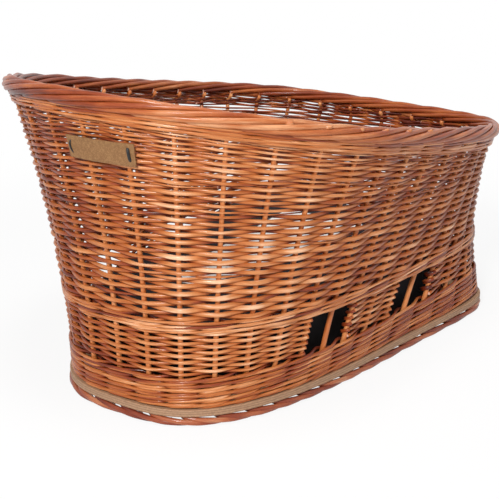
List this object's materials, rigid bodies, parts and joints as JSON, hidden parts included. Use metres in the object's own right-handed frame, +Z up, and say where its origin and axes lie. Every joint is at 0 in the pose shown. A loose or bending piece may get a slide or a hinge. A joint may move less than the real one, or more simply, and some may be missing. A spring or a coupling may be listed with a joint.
{
  "type": "dog bicycle basket",
  "caption": "Willow dog basket for a bicycle's rear carrier: round and high at one end, squared and low at the other, with strap windows, a plywood base and a lift-out cushion.",
  "frame": {"origin": "on the ground, under the middle of the basket's overall length and width", "axes": "+X from the round, high end to the squared, low end; +Y to the left of someone facing +X; +Z up"},
  "size_m": [0.515, 0.383, 0.3013],
  "materials": {
    "woven_willow": "varnished orange-brown willow rods, woven",
    "stake_willow": "varnished willow rods",
    "border_willow": "varnished willow rods laid into a rolled border",
    "plywood": "bare plywood, sanded edge",
    "label_leather": "bare tan leather, matt",
    "cushion_cloth": "black woven nylon sides, pale fleece top"
  },
  "bodies": {
    "basket": {"foot_border": "border_willow", "base_board": "plywood", "foot_wale": "woven_willow", "lower_panel_right": "woven_willow", "lower_panel_square_end": "woven_willow", "lower_panel_left": "woven_willow", "lower_panel_round_end": "woven_willow", "mid_wale": "woven_willow", "upper_randing": "woven_willow", "top_wale": "woven_willow", "rim_border": "border_willow", "label_patch": "label_leather", "stake_01": "stake_willow", "stake_02": "stake_willow", "stake_03": "stake_willow", "stake_04": "stake_willow", "stake_05": "stake_willow", "stake_06": "stake_willow", "stake_07": "stake_willow", "stake_08": "stake_willow", "stake_09": "stake_willow", "stake_10": "stake_willow", "stake_11": "stake_willow", "stake_12": "stake_willow", "stake_13": "stake_willow", "stake_14": "stake_willow", "stake_15": "stake_willow", "stake_16": "stake_willow", "stake_17": "stake_willow", "stake_18": "stake_willow", "stake_19": "stake_willow", "stake_20": "stake_willow", "stake_21": "stake_willow", "stake_22": "stake_willow", "stake_23": "stake_willow", "stake_24": "stake_willow", "stake_25": "stake_willow", "stake_26": "stake_willow", "stake_27": "stake_willow", "stake_28": "stake_willow", "stake_29": "stake_willow", "stake_30": "stake_willow", "stake_31": "stake_willow", "stake_32": "stake_willow", "stake_33": "stake_willow", "stake_34": "stake_willow", "stake_35": "stake_willow", "stake_36": "stake_willow"},
    "cushion": {"cushion": "cushion_cloth"}
  },
  "joints": [
    {"name": "cushion_lift", "type": "slide", "parent": "basket", "child": "cushion", "axis": [0, 0, 1], "range_m": [0, 0.3]}
  ]
}
